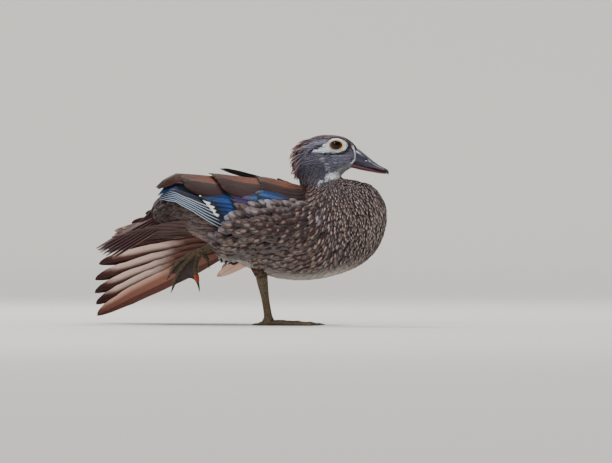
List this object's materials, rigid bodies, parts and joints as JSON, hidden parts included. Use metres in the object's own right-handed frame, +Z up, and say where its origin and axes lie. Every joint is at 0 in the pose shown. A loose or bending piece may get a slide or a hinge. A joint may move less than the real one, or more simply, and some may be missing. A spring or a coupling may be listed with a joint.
{
  "type": "wood duck model",
  "caption": "Life-size still model of a female-type wood duck stretching: its far wing and leg reach back and down, the near wing is folded and the tail tips down.",
  "frame": {"origin": "on the floor, under the pad of the standing right foot", "axes": "+X forward along the bill, +Y to the bird's left, +Z up"},
  "size_m": [0.2793, 0.232, 0.178],
  "materials": {
    "flank": "soft brown feathers with pale flecks",
    "back": "smooth dark brown feathers",
    "face": "short grey feathers",
    "bill": "satin blue-grey horn",
    "eye": "wet dark gloss",
    "flight": "brown flight feathers with paler shafts",
    "folded": "glossy blue and silver-edged flight feathers",
    "skin": "dull olive scaled skin",
    "claw": "dark horn"
  },
  "bodies": {
    "root": {"bill_lower": "bill", "bill_upper": "bill", "claw_left_hind": "claw", "claw_left_inner": "claw", "claw_left_middle": "claw", "claw_left_outer": "claw", "claw_right_hind": "claw", "claw_right_inner": "claw", "claw_right_middle": "claw", "claw_right_outer": "claw", "eye_left": "eye", "eye_right": "eye", "foot_left": "skin", "foot_right": "skin", "head": "face", "leg_left_shank": "flank", "leg_left_tarsus": "skin", "leg_right_shank": "flank", "leg_right_tarsus": "skin", "neck": "face", "tail_coverts_under": "flank", "tail_coverts_upper": "flank", "tail_feathers": "flight", "torso": "flank", "wing_left_alula": "flight", "wing_left_forearm": "flight", "wing_left_hand": "flight", "wing_left_primaries": "flight", "wing_left_primary_coverts": "flight", "wing_left_secondaries": "flight", "wing_left_secondary_coverts": "flight", "wing_left_tertials": "flight", "wing_left_upper_arm": "flank", "wing_right_arm": "flank", "wing_right_coverts": "folded", "wing_right_primaries": "folded", "wing_right_scapulars": "back", "wing_right_secondaries": "folded", "wing_right_tertials": "back"}
  },
  "joints": []
}
